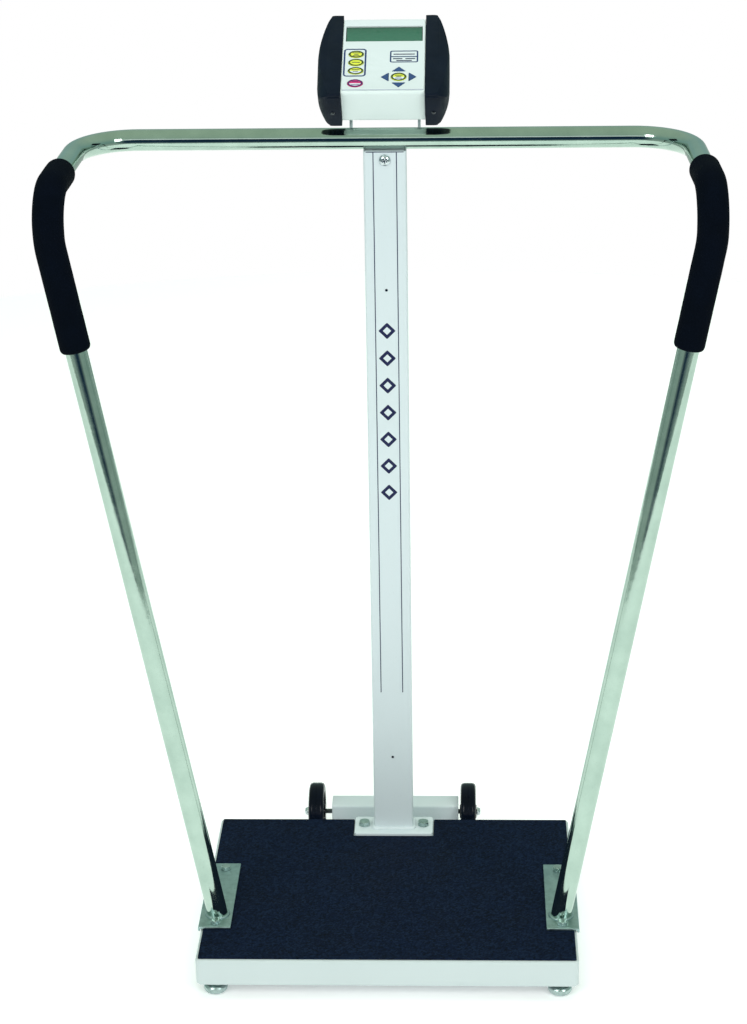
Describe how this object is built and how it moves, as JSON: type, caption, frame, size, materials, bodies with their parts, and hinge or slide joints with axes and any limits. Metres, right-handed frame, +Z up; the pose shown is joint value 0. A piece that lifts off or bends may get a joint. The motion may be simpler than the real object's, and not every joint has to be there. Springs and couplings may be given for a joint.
{
  "type": "physician column scale",
  "caption": "Standing-patient weighing scale: low matted platform on levelling feet, column with tilting read-out, wrap-round handrail, rear wheels.",
  "frame": {"origin": "on the floor under the middle of the whole scale's box", "axes": "+Z up, +Y from the platform's front edge towards the column and wheels, +X to the right of a person who stands facing the column"},
  "size_m": [0.7702, 0.4402, 1.1011],
  "materials": {
    "white_paint": "satin powder coat",
    "mat_rubber": "fine pebbled",
    "chrome": "polished",
    "foam": "closed-cell foam, matt",
    "zinc": "satin zinc plate",
    "aluminium": "machined",
    "steel": "bright",
    "wheel_plastic": "glossy black",
    "cap_plastic": "fine satin texture",
    "overlay_film": "satin film",
    "yellow_key": "satin film",
    "pink_key": "satin film",
    "blue_key": "satin film",
    "lcd_green": "reflective liquid-crystal panel",
    "lens_glass": "clear",
    "board_green": "solder mask",
    "battery_wrap": "shrink wrap",
    "cable_jacket": "smooth"
  },
  "bodies": {
    "scale_body": {"platform_cover": "white_paint", "column_base_plate": "white_paint", "column_tube": "white_paint", "column_top_block": "white_paint", "axle_tube": "white_paint", "axle_bracket": "white_paint", "indicator_bracket": "white_paint", "platform_mat": "mat_rubber", "handrail_tube": "chrome", "handrail_grip_left": "foam", "handrail_grip_right": "foam", "rail_plate_left": "zinc", "rail_plate_right": "zinc", "rail_bolt_front_left": "zinc", "rail_bolt_front_right": "zinc", "rail_bolt_rear_left": "zinc", "rail_bolt_rear_right": "zinc", "column_bolt_left": "zinc", "column_bolt_right": "zinc", "axle_cap_left": "zinc", "axle_cap_right": "zinc", "foot_lock_nut_front_left": "zinc", "foot_lock_nut_front_right": "zinc", "foot_lock_nut_rear_left": "zinc", "foot_lock_nut_rear_right": "zinc", "load_cell_front_left": "aluminium", "load_cell_front_right": "aluminium", "load_cell_rear_left": "aluminium", "load_cell_rear_right": "aluminium", "column_screw": "steel", "axle": "steel", "junction_box": "cap_plastic", "signal_cable": "cable_jacket"},
    "indicator": {"indicator_housing": "white_paint", "face_overlay": "overlay_film", "lcd_lens": "lens_glass", "lcd_module": "lcd_green", "display_board": "board_green", "battery_pack": "battery_wrap", "housing_mount": "white_paint", "end_cap_left": "cap_plastic", "end_cap_right": "cap_plastic", "pivot_screw_left": "steel", "pivot_screw_right": "steel"},
    "key_zero_pad": {"key_zero": "yellow_key"},
    "key_units_pad": {"key_units": "yellow_key"},
    "key_hold_pad": {"key_hold": "yellow_key"},
    "key_power_pad": {"key_power": "pink_key"},
    "key_enter_pad": {"key_enter": "yellow_key"},
    "key_up_pad": {"key_up": "blue_key"},
    "key_down_pad": {"key_down": "blue_key"},
    "key_left_pad": {"key_left": "blue_key"},
    "key_right_pad": {"key_right": "blue_key"},
    "foot_front_left": {"levelling_foot_front_left": "zinc"},
    "foot_front_right": {"levelling_foot_front_right": "zinc"},
    "foot_rear_left": {"levelling_foot_rear_left": "zinc"},
    "foot_rear_right": {"levelling_foot_rear_right": "zinc"},
    "roller_left": {"wheel_left": "wheel_plastic"},
    "roller_right": {"wheel_right": "wheel_plastic"}
  },
  "joints": [
    {"name": "indicator_tilt", "type": "hinge", "parent": "scale_body", "child": "indicator", "pos_m": [0, 0.14123, 1.00535], "axis": [1, 0, 0], "range_deg": [-20, 18]},
    {"name": "key_zero_press", "type": "slide", "parent": "indicator", "child": "key_zero_pad", "axis": [0, 0.4384, -0.8988], "range_m": [0, 0.0005], "stiffness_N_per_m": 2000},
    {"name": "key_units_press", "type": "slide", "parent": "indicator", "child": "key_units_pad", "axis": [0, 0.4384, -0.8988], "range_m": [0, 0.0005], "stiffness_N_per_m": 2000},
    {"name": "key_hold_press", "type": "slide", "parent": "indicator", "child": "key_hold_pad", "axis": [0, 0.4384, -0.8988], "range_m": [0, 0.0005], "stiffness_N_per_m": 2000},
    {"name": "key_power_press", "type": "slide", "parent": "indicator", "child": "key_power_pad", "axis": [0, 0.4384, -0.8988], "range_m": [0, 0.0005], "stiffness_N_per_m": 2000},
    {"name": "key_enter_press", "type": "slide", "parent": "indicator", "child": "key_enter_pad", "axis": [0, 0.4384, -0.8988], "range_m": [0, 0.0005], "stiffness_N_per_m": 2000},
    {"name": "key_up_press", "type": "slide", "parent": "indicator", "child": "key_up_pad", "axis": [0, 0.4384, -0.8988], "range_m": [0, 0.0005], "stiffness_N_per_m": 2000},
    {"name": "key_down_press", "type": "slide", "parent": "indicator", "child": "key_down_pad", "axis": [0, 0.4384, -0.8988], "range_m": [0, 0.0005], "stiffness_N_per_m": 2000},
    {"name": "key_left_press", "type": "slide", "parent": "indicator", "child": "key_left_pad", "axis": [0, 0.4384, -0.8988], "range_m": [0, 0.0005], "stiffness_N_per_m": 2000},
    {"name": "key_right_press", "type": "slide", "parent": "indicator", "child": "key_right_pad", "axis": [0, 0.4384, -0.8988], "range_m": [0, 0.0005], "stiffness_N_per_m": 2000},
    {"name": "foot_front_left_screw", "type": "slide", "parent": "scale_body", "child": "foot_front_left", "axis": [0, 0, -1], "range_m": [0, 0.006]},
    {"name": "foot_front_right_screw", "type": "slide", "parent": "scale_body", "child": "foot_front_right", "axis": [0, 0, -1], "range_m": [0, 0.006]},
    {"name": "foot_rear_left_screw", "type": "slide", "parent": "scale_body", "child": "foot_rear_left", "axis": [0, 0, -1], "range_m": [0, 0.006]},
    {"name": "foot_rear_right_screw", "type": "slide", "parent": "scale_body", "child": "foot_rear_right", "axis": [0, 0, -1], "range_m": [0, 0.006]},
    {"name": "wheel_left_spin", "type": "hinge", "parent": "scale_body", "child": "roller_left", "pos_m": [-0.1046, 0.18195, 0.041], "axis": [1, 0, 0], "continuous": true},
    {"name": "wheel_right_spin", "type": "hinge", "parent": "scale_body", "child": "roller_right", "pos_m": [0.0972, 0.18195, 0.041], "axis": [1, 0, 0], "continuous": true}
  ]
}
